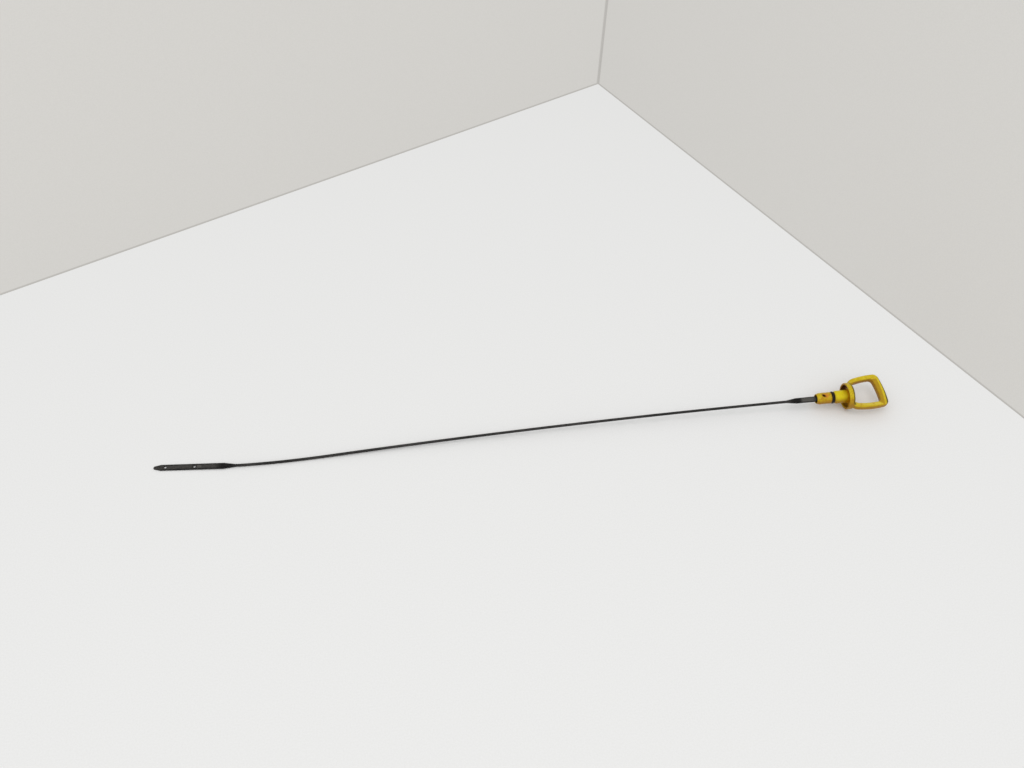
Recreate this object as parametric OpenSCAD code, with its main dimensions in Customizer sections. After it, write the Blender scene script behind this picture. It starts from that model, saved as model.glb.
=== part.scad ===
// Engine oil dipstick: a moulded finger-loop grip with a seal ring on its stem
// and a round gauge rod, flattened to a tang inside the grip and to a blade at
// its free end. The rod keeps the bends of long use and lies as it comes to
// rest. Millimetres, +Z up, +X from the blade towards the grip.

/* [Gauge rod] */
// Diameter of the round wire
wire_d = 2.2; // [1.8:0.1:2.8]
// Length of straight wire between the tang and the long bow
lead_len = 11; // [2:1:40]
// Length of wire in the long shallow bow
bow_len = 363; // [250:1:500]
// Angle that the long bow turns through
bow_turn = 3.2; // [1:0.1:5]
// Length of wire in the small bend that brings the rod level with the floor
lift_len = 20; // [10:1:40]
// Length of wire in the short set that turns back ahead of the blade
set_len = 50; // [30:1:80]
// Angle that the short set turns back through
set_turn = 4.3; // [2:0.1:8]
// Length of wire in the small bend that lets the blade down to the floor
dip_len = 4; // [2:0.5:10]
// Angle that this small bend turns sideways on top of the set
dip_turn = 3; // [0:0.1:6]

/* [Blade] */
// Length of the flat blade from its shoulder to its tip
blade_len = 54; // [42:1:90]
// Width of the blade
blade_w = 5.6; // [4.5:0.1:7]
// Thickness of the blade
blade_t = 0.75; // [0.5:0.05:1.2]
// Length over which the round wire spreads into the blade
shoulder_len = 9; // [5:0.5:15]
// Length of the tapered nose
nose_len = 6; // [3:0.5:7]
// Width of the rounded end of the nose
nose_w = 2.8; // [1.6:0.1:4]
// Diameter of the two level holes
level_hole_d = 2; // [1:0.1:2.6]
// Distance from the tip to the low level hole
low_level = 9; // [9:0.5:14]
// Distance from the low level hole to the full level hole
level_gap = 22.3; // [10:0.1:28]

/* [Tang] */
// Width of the tang
tang_w = 5; // [4.5:0.1:6.2]
// Thickness of the tang
tang_t = 0.75; // [0.5:0.05:1.2]
// Length of tang that shows outside the stem
tang_out = 17.3; // [10:0.1:40]
// Length of tang held inside the stem
tang_in = 22; // [20:1:24]
// Length over which the tang narrows to the round wire
tang_taper = 8; // [5:0.5:15]
// Diameter of the lock hole that the moulding fills
lock_hole_d = 2.6; // [1.5:0.1:3.2]
// Distance from the inner end of the tang to its lock hole
lock_back = 3.5; // [2.5:0.1:5]
// Clearance between the tang and the moulding around it
insert_gap = 0.05; // [0.02:0.01:0.15]

/* [Grip stem] */
// Diameter of the stem that enters the guide tube
stem_d = 9.5; // [9:0.1:11]
// Length from the end of the stem to the rim of the cup
stem_len = 25; // [24:0.1:45]
// Length of the taper that leads the stem into the guide tube
taper_len = 2.5; // [1:0.1:3.5]
// Amount that this taper takes off the radius of the stem
taper_drop = 0.8; // [0.2:0.1:0.9]
// Diameter of the hollow mouth that the tang comes out of
mouth_d = 6.8; // [6.4:0.1:7.4]
// Depth of the hollow mouth
mouth_depth = 3.5; // [1:0.5:5]
// Diameter of the windows that steady the tang in the mould
window_d = 2; // [1:0.1:3]
// Distance from the end of the stem to the windows
window_in = 5.8; // [5:0.1:9]

/* [Seal ring] */
// Thickness of the rubber ring
ring_cord_d = 1.8; // [1.4:0.1:2.1]
// Outer diameter of the rubber ring on the stem
ring_od = 10.1; // [9.9:0.1:11.2]
// Distance from the rim of the cup to the middle of the ring
ring_back = 11.2; // [10.8:0.1:14]
// Clearance of the ring over the floor of its groove
ring_seat_gap = 0.02; // [0.01:0.01:0.1]
// Clearance of the ring to each side of its groove
ring_side_gap = 0.15; // [0.05:0.05:0.4]

/* [Hub and cup] */
// Diameter of the hub behind the seal ring
hub_d = 10.7; // [10.2:0.1:13]
// Length of the hub ahead of the rim of the cup
hub_len = 9; // [5:0.1:9.8]
// Bevel round the front of the hub
hub_bevel = 0.6; // [0.1:0.1:0.8]
// Diameter of the cup that covers the mouth of the guide tube
cup_d = 22; // [20:0.5:23.5]
// Depth of the recess inside the cup
cup_depth = 3.2; // [1:0.1:4]
// Thickness of the floor of the cup
cup_floor_t = 1.4; // [1:0.1:3]
// Thickness of the wall round the cup
rim_w = 1.5; // [1:0.1:2.5]
// Radius of the rounded edges of the cup
rim_round = 0.5; // [0.2:0.1:0.7]
// Radius of the fillet between the hub and the floor of the cup
hub_fillet = 0.8; // [0.2:0.1:1.2]

/* [Finger loop] */
// Width over the outside of the loop
loop_w = 30.4; // [30:0.2:40]
// Length from the rim of the cup to the far end of the loop
loop_reach = 34.6; // [32:0.1:45]
// Width of the side bars of the loop
bar_w = 4.5; // [3.4:0.1:5.4]
// Width of the end bar of the loop
end_w = 6.5; // [4:0.1:7.5]
// Height of the bars of the loop
bar_h = 5.5; // [4:0.1:8]
// Radius of the rounded edges of the bars
bar_round = 1.4; // [0.5:0.1:1.5]
// Outer radius of the outward bow of each side bar
side_bow_r = 70; // [56:2:140]
// Outer radius of the outward bow of the end bar
end_bow_r = 76; // [50:2:200]
// Distance from the rim of the cup to the widest place of the loop
side_mid = 23.5; // [22:0.5:25]
// Outer radius of the two far corners of the loop
corner_r = 4.5; // [2.5:0.1:7]
// Inner radius of the two far corners of the finger hole
hole_r = 2.8; // [1.5:0.1:6]
// Outer radius of each shoulder where a side bar turns in to the cup
shoulder_r = 9; // [7:0.5:12]
// Thickness of the web between the cup and the finger hole
web_t = 1.2; // [1:0.1:3.4]
// Height of the web
web_h = 4.5; // [3:0.1:5]
// Angle that the loop leans to one side of the axis of the stem
loop_lean = 4.5; // [-5:0.5:5]

/* [Resting pose] */
// Angle that the grip is rolled round its own axis where it lies
grip_roll = 11; // [-15:1:15]

/* [Hidden] */
$fn = 64;

wire_r = wire_d / 2;
stem_r = stem_d / 2;
hub_r = hub_d / 2;
cup_r = cup_d / 2;
cup_back = cup_depth + cup_floor_t;
cut_over = 1;

// Steps that the bends and bars are lofted in, and corners of each ring
end_steps = 3;
corner_steps = 7;
side_steps = 5;
shoulder_steps = 6;
bow_steps = 14;
lift_steps = 3;
set_steps = 8;
dip_steps = 4;
spread_steps = 6;
edge_steps = 3;
ring_sides = 16;

// Groove that the ring sits in, taken from the ring and its clearances
ring_mid_r = (ring_od - ring_cord_d) / 2;
groove_r = ring_od / 2 - ring_cord_d - ring_seat_gap;
groove_w = ring_cord_d + 2 * ring_side_gap;

// Places along the stem, from the rim of the cup towards the rod
tang_end_x = tang_in - stem_len;
tang_foot_x = -stem_len - tang_out;
wire_start_x = tang_foot_x - tang_taper;
bow_start_x = wire_start_x - lead_len;

// Long bow, in the plane of the grip's axis
bow_r = bow_len * 180 / (PI * bow_turn);
function bow_place(a) = [bow_r * sin(a) - bow_start_x, bow_r * (1 - cos(a))];
bow_x = bow_place(bow_turn)[0];
bow_y = bow_place(bow_turn)[1];

// Slope at which the rim of the cup and the wire both touch the floor
level_x = bow_x + lift_len / 2 * cos(bow_turn) + rim_round;
rim_r = cup_r - rim_round;
pitch = acos((wire_r - rim_round) / norm([rim_r, level_x])) - atan2(level_x, rim_r);
grip_h = rim_r * cos(pitch) + rim_round * (1 - sin(pitch));

// Heading and slope of the wire at the end of the bow, then each bend in turn
bow_way = atan2(sin(bow_turn), cos(bow_turn) * cos(pitch));
bow_slope = asin(cos(bow_turn) * sin(pitch));
bow_end = [-bow_x * cos(pitch), -bow_y, grip_h - bow_x * sin(pitch)];
lift_r = lift_len * 180 / (PI * bow_slope);
lift_run = lift_r * sin(bow_slope);
lift_drop = lift_r * (1 - cos(bow_slope));
lift_end = bow_end - [lift_run * cos(bow_way), lift_run * sin(bow_way), lift_drop];
set_r = set_len * 180 / (PI * set_turn);
set_run = set_r * sin(set_turn);
set_side = set_r * (1 - cos(set_turn));
set_end = lift_end
    - set_run * [cos(bow_way), sin(bow_way), 0]
    + set_side * [-sin(bow_way), cos(bow_way), 0];
set_way = bow_way - set_turn;
blade_way = set_way - dip_turn;
flat_len = shoulder_len + blade_len;
blade_dip = asin((wire_r - blade_t / 2) / (flat_len + dip_len / 2));
dip_r = dip_len * 180 / (PI * blade_dip);
dip_run = dip_r * sin(blade_dip);
dip_drop = dip_r * (1 - cos(blade_dip));
function dip_point(f) =
    let (way = set_way - dip_turn * f / 2)
    set_end - [dip_run * f * cos(way), dip_run * f * sin(way), dip_drop * f * f];
dip_end = dip_point(1);
tip_x = dip_end[0] - flat_len * cos(blade_dip) * cos(blade_way);

// Middle of the part along X, so that the origin lies under it
mid_x = (tip_x + loop_reach * cos(pitch)) / 2;

// Point at a distance r from p and t from q, on the right of the way from p to q
function meet(p, r, q, t) =
    let (
        way = q - p,
        apart = norm(way),
        along = (r ^ 2 - t ^ 2 + apart ^ 2) / (2 * apart),
        aside = sqrt(r ^ 2 - along ^ 2)
    )
    p + (along * way + aside * [way[1], -way[0]]) / apart;
function bearing(p, q) = atan2(q[1] - p[1], q[0] - p[0]);
function arc_point(c, r, a) = c + r * [cos(a), sin(a)];
function ease(t) = t * t * (3 - 2 * t);

// Centres of the arcs of one half of the loop, outside and in the finger hole
side_c = [side_mid, loop_w / 2 - side_bow_r];
end_c = [loop_reach - end_bow_r, 0];
side_in_r = side_bow_r - bar_w;
end_in_r = end_bow_r - end_w;
corner_c = meet(side_c, side_bow_r - corner_r, end_c, end_bow_r - corner_r);
hole_c = meet(side_c, side_in_r - hole_r, end_c, end_in_r - hole_r);
end_a = bearing(end_c, corner_c);
side_a = bearing(side_c, corner_c);
end_in_a = bearing(end_c, hole_c);
side_in_a = bearing(side_c, hole_c);
plate_x = cup_depth + cup_floor_t / 2;
web_x = cup_back + web_t;
web_half = cup_r - bar_w / 2;

// Rings that the loop is lofted through: place on the outside, angle, width
function ring(out, in) = [out[0], out[1], bearing(in, out), norm(out - in)];
function half_loop(foot) =
    let (
        shoulder_c = meet(side_c, side_bow_r - shoulder_r, foot, shoulder_r),
        shoulder_a = bearing(side_c, shoulder_c),
        foot_turn = bearing(shoulder_c, foot) - shoulder_a
    )
    concat(
        [for (i = [1:end_steps]) let (t = i / end_steps)
            ring(arc_point(end_c, end_bow_r, end_a * t), arc_point(end_c, end_in_r, end_in_a * t))],
        [for (i = [1:corner_steps]) let (t = i / corner_steps)
            ring(
                arc_point(corner_c, corner_r, end_a + (side_a - end_a) * t),
                arc_point(hole_c, hole_r, end_in_a + (side_in_a - end_in_a) * t)
            )],
        [for (i = [1:side_steps]) let (t = i / side_steps)
            ring(
                arc_point(side_c, side_bow_r, side_a + (shoulder_a - side_a) * t),
                arc_point(side_c, side_in_r, side_in_a + (shoulder_a - side_in_a) * t)
            )],
        [for (i = [1:shoulder_steps]) let (a = shoulder_a + foot_turn * i / shoulder_steps)
            ring(arc_point(shoulder_c, shoulder_r, a), arc_point(shoulder_c, shoulder_r - bar_w, a))]
    );

// The two halves end on the back edge of the cup, though the loop leans
function turned(p, a) = [p[0] * cos(a) - p[1] * sin(a), p[0] * sin(a) + p[1] * cos(a)];
function mirrored(q) = [q[0], -q[1], -q[2], q[3]];
function leant(q) = let (p = turned([q[0], q[1]], loop_lean)) [p[0], p[1], q[2] + loop_lean, q[3]];
left_half = half_loop(turned([cup_back, cup_r], -loop_lean));
right_half = half_loop(turned([cup_back, cup_r], loop_lean));
half_count = len(left_half);
loop_rings = [
    for (q = concat(
        [for (i = [half_count - 1:-1:0]) mirrored(right_half[i])],
        [[loop_reach, 0, 0, end_w]],
        left_half
    )) leant(q)
];

// Rings that the wire is lofted through: place, way, slope, roll, half width
// and half height, and how flat the section is from 0 to 1
function axis_point(x, y) = [-x * cos(pitch), -y, grip_h - x * sin(pitch)];
function spread_ring(place, way, slope, roll, w, t, f) =
    [place, way, slope, roll, wire_r + (w / 2 - wire_r) * f, wire_r + (t / 2 - wire_r) * ease(f), f];

// The loft laps into each flat length, a little smaller than it
flat_lap = 1;
flat_step = 0.04;
tang_seat = [tang_w - flat_step, tang_t - flat_step];
blade_seat = [blade_w - flat_step, blade_t - flat_step];
function tang_ring(x, f) =
    spread_ring(axis_point(x - tang_foot_x, 0), 0, pitch, grip_roll, tang_seat[0], tang_seat[1], f);
function shoulder_ring(x, f) =
    spread_ring(blade_point(x), blade_way, blade_dip, 0, blade_seat[0], blade_seat[1], f);
tang_rings = concat(
    [tang_ring(-flat_lap, 1)],
    [for (i = [0:spread_steps]) tang_ring(tang_taper * i / spread_steps, 1 - i / spread_steps)]
);
bow_rings = [
    for (i = [0:bow_steps]) let (f = i / bow_steps, a = bow_turn * f, at = bow_place(a))
        spread_ring(
            axis_point(at[0], at[1]),
            atan2(sin(a), cos(a) * cos(pitch)), asin(cos(a) * sin(pitch)), grip_roll * (1 - f), 0, 0, 0
        )
];
lift_rings = [
    for (i = [1:lift_steps])
        let (
            a = bow_slope * (1 - i / lift_steps),
            run = lift_r * (sin(bow_slope) - sin(a)),
            drop = lift_r * (cos(a) - cos(bow_slope))
        )
        spread_ring(bow_end - [run * cos(bow_way), run * sin(bow_way), drop], bow_way, a, 0, 0, 0, 0)
];
set_rings = [
    for (i = [1:set_steps])
        let (a = set_turn * i / set_steps, run = set_r * sin(a), side = set_r * (1 - cos(a)))
        spread_ring(
            lift_end - run * [cos(bow_way), sin(bow_way), 0] + side * [-sin(bow_way), cos(bow_way), 0],
            bow_way - a, 0, 0, 0, 0, 0
        )
];
dip_rings = [
    for (i = [1:dip_steps - 1]) let (f = i / dip_steps)
        spread_ring(dip_point(f), set_way - dip_turn * f, blade_dip * f, 0, 0, 0, 0)
];
shoulder_rings = concat(
    [for (i = [0:spread_steps]) shoulder_ring(shoulder_len * i / spread_steps, i / spread_steps)],
    [shoulder_ring(shoulder_len + flat_lap, 1)]
);
function blade_point(x) = dip_end - x
    * [cos(blade_dip) * cos(blade_way), cos(blade_dip) * sin(blade_way), sin(blade_dip)];
rod_rings = concat(tang_rings, bow_rings, lift_rings, set_rings, dip_rings, shoulder_rings);

// Section of a flattened length of wire, with its natural round edges
module flat_section(w, t) {
    square([w - t, t], center = true);
    for (s = [-1, 1])
        translate([s * (w - t) / 2, 0])
            circle(d = t, $fn = 24);
}

// Flattened bar from x = 0 towards -X
module flat_bar(len, w, t) {
    rotate([90, 0, -90])
        linear_extrude(height = len)
            flat_section(w, t);
}

// Faces of a solid lofted through a count of rings, each with the same sides
function loft_faces(count, sides) = concat(
    [[for (j = [sides - 1:-1:0]) j]],
    [for (i = [0:count - 2], j = [0:sides - 1])
        let (k = (j + 1) % sides)
        [i * sides + j, i * sides + k, (i + 1) * sides + k, (i + 1) * sides + j]],
    [[for (j = [0:sides - 1]) (count - 1) * sides + j]]
);

// Corners of one ring of the wire, round where q[6] is 0 and flat where it is 1
function wire_corners(q) =
    let (
        side = [sin(q[1]), -cos(q[1]), 0],
        up = [-sin(q[2]) * cos(q[1]), -sin(q[2]) * sin(q[1]), cos(q[2])],
        across = side * cos(q[3]) - up * sin(q[3]),
        over = up * cos(q[3]) + side * sin(q[3]),
        bluff = 1 - q[6] / 2
    )
    [for (j = [0:ring_sides - 1])
        let (a = -360 * j / ring_sides)
        q[0]
            + q[4] * sign(cos(a)) * abs(cos(a)) ^ bluff * across
            + q[5] * sign(sin(a)) * abs(sin(a)) ^ bluff * over];

// Corners of one ring of the loop, a rectangle with rounded edges
function bar_corners(q) = [
    for (k = [0:3], j = [0:edge_steps])
        let (
            a = 90 * (k + j / edge_steps),
            x = (k == 0 || k == 3 ? 0 : 2 * bar_round - q[3]) - bar_round + bar_round * cos(a),
            z = (k < 2 ? 1 : -1) * (bar_h / 2 - bar_round) + bar_round * sin(a)
        )
        [q[0] + x * cos(q[2]), q[1] + x * sin(q[2]), z]
];

// The same corners carried along the bar to the plane inside the cup's floor
function foot_corners(q, travel) = [
    for (c = bar_corners(q))
        let (t = (plate_x - c[0]) / (-travel * sin(q[2])))
        c + t * travel * [-sin(q[2]), cos(q[2]), 0]
];

// Frame of the floor, with its origin below the rim of the cup
module on_floor() {
    translate([-mid_x, 0, 0])
        children();
}

// Frame of the grip's axis, with its origin at the rim of the cup
module on_axis() {
    translate([-mid_x, 0, grip_h])
        rotate([0, -pitch, 0])
            children();
}

// Frame of the grip itself, rolled round that axis
module on_grip() {
    on_axis()
        rotate([grip_roll, 0, 0])
            children();
}

module tang() {
    difference() {
        translate([tang_end_x, 0, 0])
            flat_bar(tang_in + tang_out, tang_w, tang_t);
        translate([tang_end_x - lock_back, 0, 0])
            cylinder(h = tang_t + cut_over, d = lock_hole_d, center = true, $fn = 32);
    }
}

// Outline of the blade seen from above, with its shoulder end at x = 0
module blade_outline() {
    translate([nose_len - blade_len, -blade_w])
        square([blade_len - nose_len + cut_over, 2 * blade_w]);
    polygon([
        [nose_len - blade_len, blade_w / 2],
        [nose_len - blade_len, -blade_w / 2],
        [nose_w / 2 - blade_len, -nose_w / 2],
        [nose_w / 2 - blade_len, nose_w / 2]
    ]);
    translate([nose_w / 2 - blade_len, 0])
        circle(d = nose_w, $fn = 32);
}

module blade() {
    difference() {
        intersection() {
            flat_bar(blade_len, blade_w, blade_t);
            translate([0, 0, -blade_t])
                linear_extrude(height = 2 * blade_t)
                    blade_outline();
        }
        for (x = [low_level, low_level + level_gap])
            translate([x - blade_len, 0, 0])
                cylinder(h = blade_t + cut_over, d = level_hole_d, center = true, $fn = 32);
    }
}

module loop_bar() {
    first = loop_rings[0];
    last = loop_rings[2 * half_count];
    polyhedron(
        points = concat(
            foot_corners(first, -1),
            [for (q = loop_rings) each bar_corners(q)],
            foot_corners(last, 1)
        ),
        faces = loft_faces(2 * half_count + 3, 4 * (edge_steps + 1))
    );
}

// Web across the back of the cup, rounded towards the finger hole
module web() {
    rotate([90, 0, 0])
        linear_extrude(height = 2 * web_half, center = true) {
            translate([plate_x, -web_h / 2])
                square([web_x - bar_round - plate_x, web_h]);
            translate([plate_x, bar_round - web_h / 2])
                square([web_x - plate_x, web_h - 2 * bar_round]);
            for (s = [-1, 1])
                translate([web_x - bar_round, s * (web_h / 2 - bar_round)])
                    circle(r = bar_round, $fn = 32);
        }
}

// Half section of the stem, hub and cup: radius across, axis upwards
module turned_section() {
    difference() {
        union() {
            polygon([
                [0, -stem_len],
                [stem_r - taper_drop, -stem_len],
                [stem_r, taper_len - stem_len],
                [stem_r, -ring_back - groove_w / 2],
                [groove_r, -ring_back - groove_w / 2],
                [groove_r, -ring_back + groove_w / 2],
                [stem_r, -ring_back + groove_w / 2],
                [stem_r, -hub_len],
                [hub_r - hub_bevel, -hub_len],
                [hub_r, hub_bevel - hub_len],
                [hub_r, cup_back],
                [0, cup_back]
            ]);
            square([cup_r - rim_round, cup_back]);
            translate([0, rim_round])
                square([cup_r, cup_back - 2 * rim_round]);
            for (y = [rim_round, cup_back - rim_round])
                translate([cup_r - rim_round, y])
                    circle(r = rim_round, $fn = 32);
        }
        difference() {
            translate([hub_r, -cut_over])
                square([cup_r - rim_w - hub_r, cup_depth + cut_over]);
            difference() {
                translate([hub_r - hub_fillet, cup_depth - hub_fillet])
                    square(2 * hub_fillet);
                translate([hub_r + hub_fillet, cup_depth - hub_fillet])
                    circle(r = hub_fillet, $fn = 32);
            }
        }
    }
}

// Space that the tang fills, with the peg through its lock hole left standing
module tang_pocket() {
    difference() {
        translate([tang_end_x + insert_gap, 0, 0])
            flat_bar(tang_in + cut_over, tang_w + 2 * insert_gap, tang_t + 2 * insert_gap);
        translate([tang_end_x - lock_back, 0, 0])
            cylinder(h = tang_t + cut_over, d = lock_hole_d - 2 * insert_gap, center = true, $fn = 32);
    }
}

module handle() {
    color([0.8, 0.66, 0.12])
        on_grip()
            difference() {
                union() {
                    rotate([0, 90, 0])
                        rotate_extrude()
                            turned_section();
                    loop_bar();
                    web();
                }
                translate([-stem_len - cut_over, 0, 0])
                    rotate([0, 90, 0])
                        cylinder(h = mouth_depth + cut_over, d = mouth_d);
                tang_pocket();
                translate([window_in - stem_len, 0, 0])
                    cylinder(h = stem_d, d = window_d, center = true, $fn = 32);
            }
}

module o_ring() {
    color([0.07, 0.07, 0.07])
        on_grip()
            translate([-ring_back, 0, 0])
                rotate([0, 90, 0])
                    rotate_extrude()
                        translate([ring_mid_r, 0])
                            circle(d = ring_cord_d, $fn = 32);
}

module wire() {
    polyhedron(
        points = [for (q = rod_rings) each wire_corners(q)],
        faces = loft_faces(len(rod_rings), ring_sides)
    );
}

module gauge_rod() {
    color([0.3, 0.3, 0.32]) {
        on_grip()
            tang();
        on_floor() {
            wire();
            translate(blade_point(shoulder_len))
                rotate([0, -blade_dip, blade_way])
                    blade();
        }
    }
}

handle();
o_ring();
gauge_rod();
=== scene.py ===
"""Looks of the engine oil dipstick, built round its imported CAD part."""

import math
from types import SimpleNamespace

import bmesh
import bpy
from mathutils import Matrix, Vector


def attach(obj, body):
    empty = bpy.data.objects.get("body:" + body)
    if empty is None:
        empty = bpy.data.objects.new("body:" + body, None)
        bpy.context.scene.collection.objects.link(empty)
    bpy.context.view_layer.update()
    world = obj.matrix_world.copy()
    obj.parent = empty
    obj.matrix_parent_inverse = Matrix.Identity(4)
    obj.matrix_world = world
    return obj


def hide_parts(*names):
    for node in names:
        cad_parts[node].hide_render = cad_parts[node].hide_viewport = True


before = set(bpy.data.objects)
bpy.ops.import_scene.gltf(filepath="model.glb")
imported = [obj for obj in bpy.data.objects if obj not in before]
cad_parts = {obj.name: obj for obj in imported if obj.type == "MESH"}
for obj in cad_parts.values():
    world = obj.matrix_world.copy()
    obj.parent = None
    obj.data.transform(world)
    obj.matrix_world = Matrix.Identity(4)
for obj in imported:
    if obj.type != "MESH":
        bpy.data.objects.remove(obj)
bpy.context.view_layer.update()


# Node helpers


class Nodes:
    """A small builder for one material's node tree."""

    def __init__(self, name):
        self.material = bpy.data.materials.new(name)
        self.material.use_nodes = True
        self.tree = self.material.node_tree
        self.tree.nodes.clear()

    def put(self, node, key, value):
        """Link a socket to a node's input, or set the input to a plain value."""
        if isinstance(value, bpy.types.NodeSocket):
            self.tree.links.new(value, node.inputs[key])
        else:
            node.inputs[key].default_value = value

    def add(self, kind, values=None, **settings):
        """A new node with these settings and these inputs."""
        node = self.tree.nodes.new(kind)
        for key, value in settings.items():
            setattr(node, key, value)
        for key, value in (values or {}).items():
            self.put(node, key, value)
        return node

    def math(self, operation, a, b=0.0):
        return self.add("ShaderNodeMath", {0: a, 1: b}, operation=operation).outputs[0]

    def times(self, value, *factors):
        """Product of all the arguments."""
        for factor in factors:
            value = self.math("MULTIPLY", value, factor)
        return value

    def plus(self, value, *terms):
        """Sum of all the arguments."""
        for term in terms:
            value = self.math("ADD", value, term)
        return value

    def size(self, value):
        """Value without its sign."""
        return self.math("ABSOLUTE", value)

    def ramp(self, value, low, high, to_low=0.0, to_high=1.0):
        """Value from low..high mapped smoothly to to_low..to_high."""
        reach = {"From Min": low, "From Max": high, "To Min": to_low, "To Max": to_high}
        values = {"Value": value, **reach}
        node = self.add("ShaderNodeMapRange", values, interpolation_type="SMOOTHSTEP")
        return node.outputs["Result"]

    def band(self, value, start, full, fade, end):
        """1 from full to fade, and 0 before start and after end."""
        return self.times(self.ramp(value, start, full), self.ramp(value, end, fade))

    def mix(self, factor, a, b):
        """Colour that goes from a to b as the factor goes from 0 to 1."""
        return self.add("ShaderNodeMix", {0: factor, 6: a, 7: b}, data_type="RGBA").outputs[2]

    def stain(self, base, mask, strength, colour):
        """Base colour under a stain of this colour, where the mask is 1."""
        return self.mix(self.times(mask, strength), base, colour)

    def axes(self, vector):
        return self.add("ShaderNodeSeparateXYZ", {"Vector": vector}).outputs

    def local(self, place, origin, turn):
        """Place in the frame with this origin and these turns."""
        values = {"Vector": place, "Location": origin, "Rotation": turn}
        return self.add("ShaderNodeMapping", values, vector_type="TEXTURE").outputs["Vector"]

    def stretched(self, vector, scale):
        return self.add("ShaderNodeMapping", {"Vector": vector, "Scale": scale}).outputs["Vector"]

    def noise(self, vector, scale, detail=4.0, roughness=0.55):
        """Noise from 0 to 1, with its scale per metre."""
        values = {"Vector": vector, "Scale": scale, "Detail": detail, "Roughness": roughness}
        return self.add("ShaderNodeTexNoise", values).outputs["Fac"]

    def distance(self, x, y, centre):
        """Distance from x, y to a point of the same plane."""
        along = self.math("SUBTRACT", x, centre[0])
        aside = self.math("SUBTRACT", y, centre[1])
        return self.math("SQRT", self.plus(self.times(along, along), self.times(aside, aside)))

    def bump(self, height, distance, strength):
        values = {"Height": height, "Distance": distance, "Strength": strength}
        return self.add("ShaderNodeBump", values).outputs["Normal"]

    def surface(self, colour, rough, normal, plain):
        """Principled surface, where plain holds what is the same all over it."""
        values = {"Base Color": colour, "Roughness": rough, "Normal": normal, **plain}
        return self.finish(self.add("ShaderNodeBsdfPrincipled", values).outputs["BSDF"])

    def finish(self, shader):
        out = self.add("ShaderNodeOutputMaterial")
        self.tree.links.new(shader, out.inputs["Surface"])
        return self.material


def rgb(red, green, blue):
    """Scene-linear colour of an sRGB colour given from 0 to 255."""
    out = []
    for value in (red, green, blue):
        value /= 255.0
        out.append(value / 12.92 if value <= 0.04045 else ((value + 0.055) / 1.055) ** 2.4)
    return (*out, 1.0)


# The grip

# The grip's own frame, in metres: its origin is the rim of the cup on the axis
# of the grip, and x runs along the axis towards the finger loop.
RIM = Vector((0.263094, 0.0, 0.010986))
PITCH = math.radians(1.305)
ROLL = math.radians(11.0)

# Places in that frame: the ring's middle, the window, the middle of the orange
# stain, and the centres of the arcs of the loop's end bar and side bars
RING = -0.0113
WINDOW = (-0.0192, 0.0)
ORANGE_STAIN = (-0.0172, 0.0)
END_CENTRE = (-0.0414, 0.0)
SIDE_CENTRE = (0.0235, -0.0548)

# Bands along the grip: where each starts, is full, fades and ends
HUB = (-0.0098, -0.0084, -0.0040, -0.0008)
CUP = (0.0, 0.0008, 0.0034, 0.0042)
CUP_BACK = (0.0030, 0.0038, 0.0058, 0.0066)
MOUTH = (-0.0250, -0.0241, -0.0200, -0.0190)

# Voxel size and smoothing passes that soften the grip's edges as a mould does
GRIP_VOXEL = 0.00026
GRIP_PASSES = 6

# Ends of the grip's masks, in metres: first where a mask is 0, then where it is 1.
# Those of the loop are along x, then round the two centres of its arcs, then
# along x + y, which is least at the near bar's root.
LOOP = (0.0050, 0.0065)
SIDE_INNER_HALF = (0.0676, 0.0670)
SIDE_INNER_EDGE = (0.0672, 0.0664)
END_INNER_HALF = (0.0732, 0.0724)
END_OUTER_EDGE = (0.0743, 0.0750)
AMBER_START = (0.0168, 0.0180)
EDGE_HIGHLIGHT_END = (0.0170, 0.0150)

# Those of the cup are radii, depths along x, and ways to its far and low sides
CUP_INSIDE = (0.0104, 0.0094)
CUP_RIM_RADIUS = (0.0088, 0.0096)
CUP_RIM_DEPTH = (0.0040, 0.0030)
CUP_FAR_SIDE = (0.0035, 0.0062)
CUP_LOW_SIDE = (0.0050, 0.0085)
CUP_BACK_WIDTH = (0.0108, 0.0094)
CUP_BACK_RADIUS = (0.0086, 0.0100)

# Those of the stem are along x, radii, heights, and distances from a stain's middle
STEM = (-0.0118, -0.0130)
STEM_SKIN = (0.0040, 0.0044)
STEM_TOP = (0.0, 0.002)
MOUTH_INSIDE = (0.0037, 0.0034)
RING_REACH = (0.0019, 0.0012)
ORANGE_REACH = (0.0032, 0.0012)
WINDOW_REACH = (0.0019, 0.0012)

# Distances from the mould's parting plane at which its seam fades and ends
SEAM = (0.00010, 0.00025)


def grip_fields(n):
    """Places, faces and noises that the grip's layers share."""
    at = n.local(n.add("ShaderNodeTexCoord").outputs["Object"], RIM, (ROLL, -PITCH, 0.0))
    x, y, z = n.axes(at)
    return SimpleNamespace(
        at=at,
        x=x,
        y=y,
        z=z,
        slanted=n.plus(x, y),
        up=n.axes(n.add("ShaderNodeNewGeometry").outputs["Normal"])[2],
        radius=n.distance(y, z, (0.0, 0.0)),
        from_end=n.distance(x, y, END_CENTRE),
        from_side=n.distance(x, n.size(y), SIDE_CENTRE),
        loop=n.ramp(x, *LOOP),
        clouds=n.noise(at, 140.0, 3.0),
        blotches=n.noise(at, 420.0, 5.0, 0.6),
    )


def yellow_with_side_shade(n, g):
    """Yellow plastic, cleanest on the hub, with painted amber shade on faces that don't look up."""
    base = n.mix(n.ramp(g.clouds, 0.35, 0.7), rgb(205, 181, 16), rgb(188, 155, 8))
    base = n.stain(base, n.band(g.x, *HUB), 0.85, rgb(220, 200, 2))
    # Painted amber shade on faces that look sideways or down
    return n.stain(base, n.ramp(g.up, 0.80, -0.05), 0.85, rgb(150, 102, 0))


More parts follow.
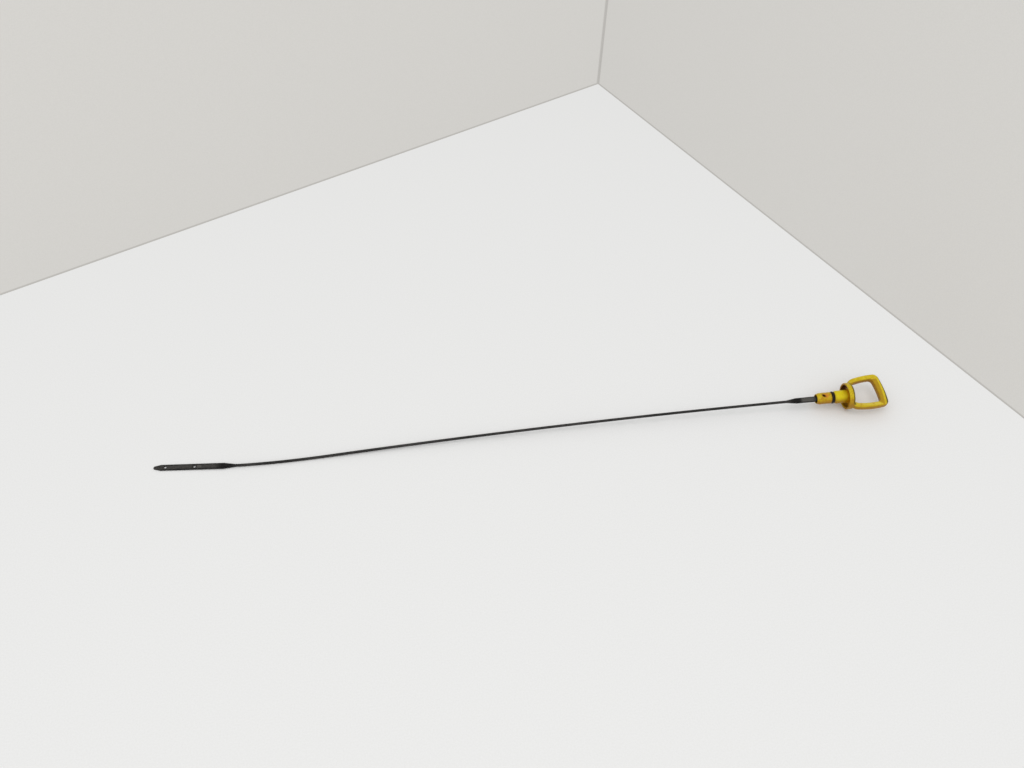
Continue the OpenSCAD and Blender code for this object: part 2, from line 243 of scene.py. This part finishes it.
def loop_wear_shade_and_highlight(n, g, base):
    """Rubbed top of the loop, an oil film, painted amber shade on the far and end bars round its
    opening, and a painted highlight on the near bar's inner edge.
    """
    wear_and_sheen = n.times(g.loop, n.ramp(g.up, 0.85, 0.98), n.ramp(g.blotches, 0.35, 0.65))
    base = n.stain(base, wear_and_sheen, 0.6, rgb(222, 198, 48))

    film = n.times(g.loop, n.ramp(n.noise(g.at, 520.0, 5.0, 0.65), 0.54, 0.66))
    base = n.stain(base, film, 0.45, rgb(176, 136, 4))

    # Painted amber shade on the inner halves of the far and end bars
    inner_half = n.times(n.ramp(g.from_side, *SIDE_INNER_HALF), n.ramp(g.from_end, *END_INNER_HALF))
    beyond_root = n.ramp(g.slanted, *AMBER_START)
    inside = n.times(g.loop, inner_half, beyond_root, n.ramp(g.blotches, 0.2, 0.5, 0.7, 1.0))
    base = n.stain(base, inside, 0.70, rgb(158, 112, 0))

    # Painted highlight along the near bar's inner top edge
    inner_edge = n.times(n.ramp(g.from_side, *SIDE_INNER_EDGE), n.ramp(g.up, 0.3, 0.7))
    painted_edge_highlight = n.times(g.loop, inner_edge, n.ramp(g.slanted, *EDGE_HIGHLIGHT_END))
    return n.stain(base, painted_edge_highlight, 0.5, rgb(222, 206, 86))


def cup_shade_and_oil(n, g, base):
    """Painted amber shade on the floor of the cup, dark brown painted shade with oil on its far and
    low sides, and a streaked rim.
    """
    # Painted amber shade on the floor of the cup's recess
    in_cup = n.times(n.band(g.x, *CUP), n.ramp(g.radius, *CUP_INSIDE))
    base = n.stain(base, in_cup, 0.75, rgb(196, 140, 4))

    # Dark brown painted shade, with some oil, on the cup's far and low sides
    far = n.math("SUBTRACT", n.times(g.y, 0.82), n.times(g.z, 0.12))
    low = n.math("SUBTRACT", n.times(g.y, -0.25), g.z)
    shade_and_oil = n.math("MAXIMUM", n.ramp(far, *CUP_FAR_SIDE), n.ramp(low, *CUP_LOW_SIDE, 0.0, 0.6))
    shade_and_oil = n.times(in_cup, shade_and_oil, n.ramp(g.blotches, 0.25, 0.5, 0.6, 1.0))
    base = n.mix(shade_and_oil, base, rgb(70, 38, 8))

    rim = n.times(n.ramp(g.radius, *CUP_RIM_RADIUS), n.ramp(g.x, *CUP_RIM_DEPTH))
    streaks = n.times(rim, n.ramp(n.noise(g.at, 760.0), 0.50, 0.62))
    return n.stain(base, streaks, 0.5, rgb(160, 104, 6))


def brown_film(n, g, base):
    """Brown film in patches, thickest on the stem, which the tube wears."""
    patches = n.times(n.ramp(g.blotches, 0.54, 0.68), n.ramp(g.clouds, 0.40, 0.58))
    base = n.stain(base, patches, 0.6, rgb(166, 104, 10))

    stem = n.times(n.ramp(g.x, *STEM), n.ramp(g.radius, *STEM_SKIN))
    mottled = n.times(stem, n.ramp(n.noise(g.at, 700.0), 0.50, 0.60))
    return n.stain(base, mottled, 0.7, rgb(172, 114, 12))


def stem_stains_and_mouth_shade(n, g, base):
    """Dark oil beside the ring, painted shade in the stem's mouth, and an orange stain and a dark
    brown patch at the window.
    """
    beside_ring = n.ramp(n.size(n.math("SUBTRACT", g.x, RING)), *RING_REACH)
    base = n.stain(base, beside_ring, 0.9, rgb(44, 32, 10))

    # Painted shade within the stem's mouth
    mouth = n.times(n.band(g.x, *MOUTH), n.ramp(g.radius, *MOUTH_INSIDE))
    base = n.stain(base, mouth, 0.7, rgb(84, 58, 14))

    top = n.ramp(g.z, *STEM_TOP)
    orange = n.times(top, n.ramp(n.distance(g.x, g.y, ORANGE_STAIN), *ORANGE_REACH))
    base = n.stain(base, orange, 0.7, rgb(206, 128, 36))

    skewed = n.plus(g.x, n.times(g.y, 0.5))
    dark = n.times(top, n.ramp(n.distance(skewed, g.y, WINDOW), *WINDOW_REACH))
    return n.stain(base, dark, 0.8, rgb(92, 50, 12))


def edge_shade_and_specks(n, g, base):
    """Painted olive shade on the end bar's outer edge and behind the cup, and dark specks of dirt.
    """
    # Painted olive shade along the end bar's outer edge and the cup's back edge
    outer = n.times(n.ramp(g.from_end, *END_OUTER_EDGE), n.ramp(g.up, 0.15, 0.45))
    outwards = n.ramp(g.radius, *CUP_BACK_RADIUS, 0.15, 1.0)
    behind = n.times(n.band(g.x, *CUP_BACK), n.ramp(n.size(g.y), *CUP_BACK_WIDTH), outwards)
    base = n.stain(base, n.math("MAXIMUM", outer, behind), 0.9, rgb(66, 62, 6))
    return n.stain(base, n.ramp(n.noise(g.at, 1300.0, 2.0), 0.67, 0.73), 0.7, rgb(84, 56, 12))


def grip_plastic():
    """Worn plastic with oil stains, painted shade and painted highlights, and the mould's parting
    line in the loop's plane.
    """
    n = Nodes("grip_plastic")
    g = grip_fields(n)
    base = yellow_with_side_shade(n, g)
    for layer in (loop_wear_shade_and_highlight, cup_shade_and_oil, brown_film, stem_stains_and_mouth_shade, edge_shade_and_specks):
        base = layer(n, g, base)
    rough = n.ramp(g.blotches, 0.3, 0.75, 0.32, 0.52)
    fine = n.noise(g.at, 2600.0, 3.0)
    seam = n.ramp(n.size(g.z), *SEAM, 1.0, 0.0)
    height = n.plus(n.times(g.blotches, 0.6), n.times(fine, 0.25), n.times(seam, 0.8))
    plain = {"IOR": 1.48, "Specular IOR Level": 0.25}
    return n.surface(base, rough, n.bump(height, 0.00006, 0.5), plain)


def smooth_copy(name, node, voxel, passes):
    """A CAD node's solid with the softened edges and fillets of a moulding."""
    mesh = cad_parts[node].data.copy()
    mesh.materials.clear()
    welded = bmesh.new()
    welded.from_mesh(mesh)
    bmesh.ops.remove_doubles(welded, verts=welded.verts, dist=1e-6)
    welded.to_mesh(mesh)
    welded.free()
    obj = bpy.data.objects.new(name, mesh)
    bpy.context.scene.collection.objects.link(obj)
    remesh = obj.modifiers.new("remesh", "REMESH")
    remesh.mode = "VOXEL"
    remesh.voxel_size = voxel
    smooth = obj.modifiers.new("smooth", "SMOOTH")
    smooth.factor = 0.5
    smooth.iterations = passes
    bpy.context.view_layer.update()
    evaluated = obj.evaluated_get(bpy.context.evaluated_depsgraph_get())
    soft = bpy.data.meshes.new_from_object(evaluated)
    obj.modifiers.clear()
    obj.data = soft
    bpy.data.meshes.remove(mesh)
    for polygon in soft.polygons:
        polygon.use_smooth = True
    return obj


# The ring


def ring_rubber():
    """Black rubber with a brown film of oil."""
    n = Nodes("ring_rubber")
    place = n.add("ShaderNodeTexCoord").outputs["Object"]
    grains = n.noise(place, 3000.0, 3.0)
    film = n.noise(place, 500.0, 3.0)
    base = n.mix(n.ramp(film, 0.45, 0.7), rgb(15, 12, 10), rgb(40, 26, 12))
    rough = n.ramp(film, 0.3, 0.7, 0.32, 0.55)
    return n.surface(base, rough, n.bump(grains, 0.00003, 0.5), {"Specular IOR Level": 0.3})


# The rod

# The blade's own frame: its origin is the tip, and x runs towards the grip
BLADE_TIP = Vector((-0.297686, -0.007483, 0.000375))
BLADE_WAY = math.radians(-4.10)

# Middles of the level holes along the blade, and how far the scale round each goes
HOLES = ((0.0090, 0.0018), (0.0313, 0.0024))
SCALE_FULL = 0.0011

# Bands along the blade: where each starts, is full, fades and ends
SHOULDER = (0.0450, 0.0530, 0.0600, 0.0700)
PUNCHED = (0.0330, 0.0334, 0.0364, 0.0368)

# Ends of the rod's masks, in metres: first where a mask is 0, then where it is 1
BLADE = (0.0560, 0.0500)
BLADE_MIDDLE = (0.0022, 0.0010)
PUNCHED_WIDTH = (0.0013, 0.0010)
NOSE = (0.0066, 0.0056)
TANG = (0.2150, 0.2190)
TANG_FACE = (0.2240, 0.2275)
TANG_MIDDLE = (0.0021, 0.0014)

# Radians per metre of the hatching across the nose
HATCH_RATE = 5200.0


def rod_fields(n):
    """Places, faces and noises that the rod's layers share."""
    place = n.add("ShaderNodeTexCoord").outputs["Object"]
    along, across, _ = n.axes(place)
    x, y, _ = n.axes(n.local(place, BLADE_TIP, (0.0, 0.0, BLADE_WAY)))
    up = n.axes(n.add("ShaderNodeNewGeometry").outputs["Normal"])[2]
    return SimpleNamespace(
        along=along,
        across=across,
        x=x,
        y=y,
        flat=n.ramp(up, 0.93, 0.995),
        drawn=n.noise(n.stretched(place, (60.0, 2600.0, 2600.0)), 1.0),
        clouds=n.noise(n.stretched(place, (30.0, 200.0, 200.0)), 1.0),
        spots=n.noise(place, 900.0, 4.0, 0.65),
    )


def drawn_steel(n, r):
    """Dark steel with faint streaks along the wire."""
    base = n.mix(n.ramp(r.clouds, 0.35, 0.65), rgb(46, 44, 43), rgb(27, 26, 25))
    return n.stain(base, n.ramp(r.drawn, 0.45, 0.65), 0.35, rgb(66, 64, 62))


def blade_shade_and_sheen(n, r, base):
    """Painted shade on the blade's edges and a painted sheen down the middle of its flat face, and
    a dark shoulder.
    """
    blade = n.ramp(r.x, *BLADE)
    # Painted shade on the blade's edges, which don't look up
    base = n.mix(n.times(blade, n.math("SUBTRACT", 1.0, r.flat)), base, rgb(23, 21, 22))
    # Painted sheen down the middle of the blade's flat face
    wear_and_sheen = n.times(blade, r.flat, n.ramp(n.size(r.y), *BLADE_MIDDLE))
    base = n.stain(base, wear_and_sheen, 0.75, rgb(74, 72, 70))
    return n.mix(n.band(r.x, *SHOULDER), base, rgb(14, 13, 13))


def tang_dark_and_sheen(n, r, base):
    """Dark taper of the tang, and a paler painted sheen down the middle of its face towards the
    stem.
    """
    base = n.mix(n.ramp(r.along, *TANG), base, rgb(20, 19, 19))
    # Painted sheen down the middle of the tang's face, towards the stem
    face = n.times(n.ramp(r.along, *TANG_FACE), n.ramp(n.size(r.across), *TANG_MIDDLE))
    return n.stain(base, face, 0.8, rgb(98, 96, 92))


def hole_scale(n, r, base):
    """Scale and dry oil round each level hole."""
    for middle, reach in HOLES:
        mask = n.ramp(n.distance(r.x, r.y, (middle, 0.0)), reach, SCALE_FULL)
        base = n.stain(base, mask, 0.7, rgb(24, 22, 20))
    return base


def rod_steel():
    """Oiled steel with painted shade and sheen on its flats, a punched mark, a hatched nose and
    freckles of rust.
    """
    n = Nodes("rod_steel")
    r = rod_fields(n)
    base = drawn_steel(n, r)
    for layer in (blade_shade_and_sheen, tang_dark_and_sheen, hole_scale):
        base = layer(n, r, base)

    punched = n.times(n.band(r.x, *PUNCHED), n.ramp(n.size(r.y), *PUNCHED_WIDTH))
    base = n.stain(base, punched, 0.55, rgb(104, 102, 98))

    nose = n.times(n.ramp(r.x, *NOSE), r.flat)
    base = n.stain(base, nose, 0.8, rgb(26, 25, 25))
    ridge = n.math("SINE", n.times(n.plus(r.x, r.y), HATCH_RATE))
    hatch = n.times(n.ramp(ridge, 0.1, 0.7), nose)
    base = n.stain(base, hatch, 0.5, rgb(112, 110, 106))
    base = n.stain(base, n.ramp(r.spots, 0.64, 0.74), 0.45, rgb(74, 44, 24))

    rough = n.ramp(r.clouds, 0.3, 0.7, 0.34, 0.5)
    struck = n.times(n.plus(hatch, punched), 1.5)
    height = n.plus(n.times(r.drawn, 0.7), n.times(r.spots, 0.5), struck)
    return n.surface(base, rough, n.bump(height, 0.00003, 0.5), {"Metallic": 0.65})


# Backdrop, light and camera

# The backdrop: its corner, the ways of its walls, and the sizes of its boards
CORNER = Vector((0.1492, 0.5009, 0.0))
LEFT = Vector((-0.8961, -0.4438, 0.0)).normalized()
RIGHT = Vector((0.4438, -0.8961, 0.0)).normalized()
UP = Vector((0.0, 0.0, 1.0))
WALL_LENGTH = 6.0
WALL_HEIGHT = 2.0
FLOOR_BEHIND = 3.0

# Studio light: the world's strength, and the lamp's place, side and watts
SKY_LEVEL = 0.72
LAMP_PLACE = Vector((-0.15, -0.85, 1.9))
LAMP_SIZE = 2.4
LAMP_POWER = 16.0

# The photograph's camera, with its ways to the right, down and forward
CAMERA_PLACE = Vector((-0.10154, -0.50210, 0.63268))
VIEW_RIGHT = Vector((0.991188, -0.128654, 0.031526))
VIEW_DOWN = Vector((-0.075641, -0.745139, -0.662605))
VIEW_FORWARD = Vector((0.108739, 0.654382, -0.748305))
LENS = 35.156
SENSOR = 36.0
CLIP_START = 0.01


def backdrop(name, colour, grain, joint):
    """Matt pale board that only shows its front, and its joints as thin lines."""
    n = Nodes(name)
    geometry = n.add("ShaderNodeNewGeometry").outputs
    speck = n.noise(geometry["Position"], 900.0, 3.0)
    base = n.stain(colour, n.ramp(speck, 0.3, 0.7), grain, rgb(200, 198, 193))
    x, y, z = n.axes(geometry["Position"])
    upright = n.ramp(n.distance(x, y, CORNER), 0.0030, 0.0012)
    line = n.math("MAXIMUM", n.ramp(z, 0.0026, 0.0012), upright)
    base = n.stain(base, line, joint, rgb(120, 115, 108))
    front = n.add("ShaderNodeBsdfDiffuse", {"Color": base}).outputs[0]
    back = n.add("ShaderNodeBsdfTransparent").outputs[0]
    sides = {0: geometry["Backfacing"], 1: front, 2: back}
    return n.finish(n.add("ShaderNodeMixShader", sides).outputs[0])


def plane(name, origin, along, up, length, height, material):
    """A one-sided rectangle of the backdrop, whose face looks along x up."""
    across = along * length
    upward = up * height
    corners = [origin, origin + across, origin + across + upward, origin + upward]
    mesh = bpy.data.meshes.new(name)
    mesh.from_pydata([tuple(corner) for corner in corners], [], [(0, 1, 2, 3)])
    mesh.materials.append(material)
    obj = bpy.data.objects.new(name, mesh)
    bpy.context.scene.collection.objects.link(obj)
    return obj


def studio_world():
    """Even white light from all round."""
    world = bpy.data.worlds.new("studio")
    world.use_nodes = True
    sky = world.node_tree.nodes["Background"]
    sky.inputs["Color"].default_value = (1.0, 1.0, 1.0, 1.0)
    sky.inputs["Strength"].default_value = SKY_LEVEL
    bpy.context.scene.world = world


def overhead_lamp():
    """Large soft lamp above the front, turned to the object's middle."""
    lamp = bpy.data.lights.new("overhead", "AREA")
    lamp.shape = "SQUARE"
    lamp.size = LAMP_SIZE
    lamp.energy = LAMP_POWER
    obj = bpy.data.objects.new("overhead", lamp)
    obj.location = LAMP_PLACE
    obj.rotation_euler = (-LAMP_PLACE).to_track_quat("-Z", "Y").to_euler()
    bpy.context.scene.collection.objects.link(obj)


def photo_camera():
    """Camera at the photograph's place."""
    data = bpy.data.cameras.new("camera")
    data.sensor_fit = "HORIZONTAL"
    data.sensor_width = SENSOR
    data.lens = LENS
    data.clip_start = CLIP_START
    camera = bpy.data.objects.new("camera", data)
    turn = Matrix((VIEW_RIGHT, -VIEW_DOWN, -VIEW_FORWARD)).transposed()
    camera.matrix_world = Matrix.Translation(CAMERA_PLACE) @ turn.to_4x4()
    bpy.context.scene.collection.objects.link(camera)
    bpy.context.scene.camera = camera


# The object's pieces

grip = smooth_copy("grip_moulding", "handle", GRIP_VOXEL, GRIP_PASSES)
grip.data.materials.append(grip_plastic())
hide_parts("handle")
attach(grip, "root")

for node, finish in (("o_ring", ring_rubber()), ("gauge_rod", rod_steel())):
    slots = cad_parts[node].data.materials
    if not slots:
        slots.append(finish)
    for index in range(len(slots)):
        slots[index] = finish

# The scene round it

floor_side = FLOOR_BEHIND + WALL_LENGTH
floor_corner = CORNER - FLOOR_BEHIND * (LEFT + RIGHT)
floor_board = backdrop("floor_board", rgb(240, 240, 239), 0.10, 0.0)
wall_board = backdrop("wall_board", rgb(226, 224, 220), 0.12, 0.3)
plane("floor", floor_corner, LEFT, RIGHT, floor_side, floor_side, floor_board)
for wall in (
    plane("wall_left", CORNER, UP, LEFT, WALL_HEIGHT, WALL_LENGTH, wall_board),
    plane("wall_right", CORNER, RIGHT, UP, WALL_LENGTH, WALL_HEIGHT, wall_board),
):
    wall.visible_diffuse = False
    wall.visible_shadow = False

studio_world()
overhead_lamp()
photo_camera()
bpy.context.scene.view_settings.view_transform = "Standard"
